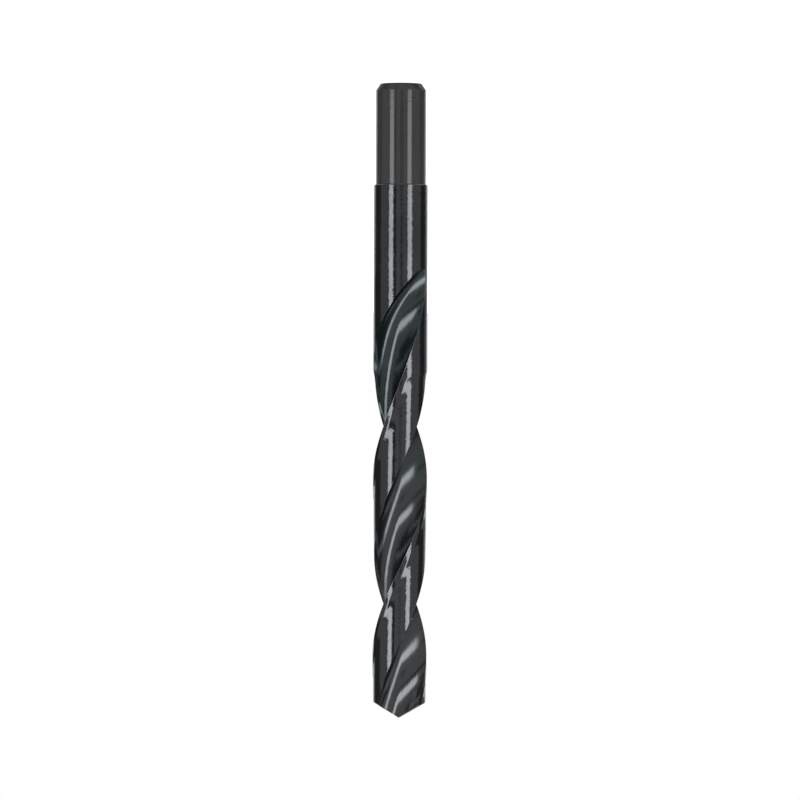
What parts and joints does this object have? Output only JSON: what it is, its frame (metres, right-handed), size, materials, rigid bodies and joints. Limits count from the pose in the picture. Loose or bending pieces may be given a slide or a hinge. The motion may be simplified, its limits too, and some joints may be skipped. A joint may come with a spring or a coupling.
{
  "type": "twist drill bit",
  "caption": "Right-hand twist drill bit with a plain round shank, helical flutes that run out into the body, ground margins and a chisel point.",
  "frame": {"origin": "centre of the shank's flat end face, on which the drill stands", "axes": "+Z along the drill from the shank to the point; -Y towards the side that the picture shows, with the lips turned 50 degrees from +X"},
  "size_m": [0.0136, 0.0134, 0.1587],
  "materials": {
    "black_oxide_steel": "ground high-speed steel with a thin black oxide, satin on the shank, glossier and worn at the edges of the flutes"
  },
  "bodies": {
    "root": {"twist_drill": "black_oxide_steel"}
  },
  "joints": []
}
